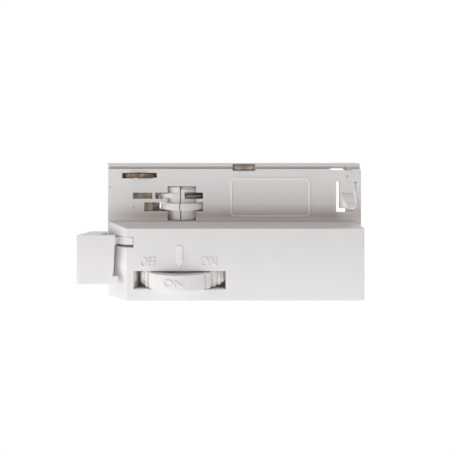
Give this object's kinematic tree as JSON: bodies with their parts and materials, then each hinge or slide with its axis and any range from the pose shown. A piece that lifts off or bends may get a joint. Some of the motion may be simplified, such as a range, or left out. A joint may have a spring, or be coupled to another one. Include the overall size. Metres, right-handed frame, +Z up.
{
  "type": "track light adapter",
  "caption": "Box-shaped track light adapter: wide base with selector thumbwheel and swinging lock lever, slim riser with contact rotor and lock disc that enters the track, threaded stem hole below.",
  "frame": {"origin": "axis of the lamp stem hole at the underside of the base", "axes": "+X along the track away from the lever, -Y the face with the marked thumbwheel window, +Z up into the track"},
  "size_m": [0.1167, 0.038, 0.0555],
  "materials": {
    "white_shell": "fine satin moulded white plastic",
    "white_cover": "fine satin moulded white plastic",
    "white_moving": "smooth satin white plastic",
    "white_inner": "moulded white plastic",
    "steel": "zinc-plated steel",
    "earth_metal": "dull tinned sheet metal",
    "lock_metal": "dull brass",
    "contact_brass": "stamped brass"
  },
  "bodies": {
    "housing": {"housing": "white_shell", "top_cover": "white_cover", "base_cover": "white_cover", "cover_screws": "steel", "stem_bush": "steel", "earth_clip": "earth_metal", "upper_strip": "contact_brass", "lower_strip": "contact_brass", "terminal_block": "white_inner", "terminal_screws": "steel", "detent_spring": "steel"},
    "lever": {"lever": "white_moving", "lever_shaft": "white_inner", "lever_clip": "steel", "lock_disc": "lock_metal"},
    "selector": {"thumbwheel": "white_moving", "selector_shaft": "white_inner", "rotor_left": "white_inner", "rotor_right": "white_inner", "upper_contact": "contact_brass", "lower_contact": "contact_brass"}
  },
  "joints": [
    {"name": "lever_turn", "type": "hinge", "parent": "housing", "child": "lever", "pos_m": [-0.0504, 0, 0.03], "axis": [0, 0, 1], "range_deg": [-90, 0]},
    {"name": "selector_turn", "type": "hinge", "parent": "housing", "child": "selector", "pos_m": [-0.0326, 0, 0.03], "axis": [0, 0, 1], "range_deg": [-105, 0]}
  ]
}
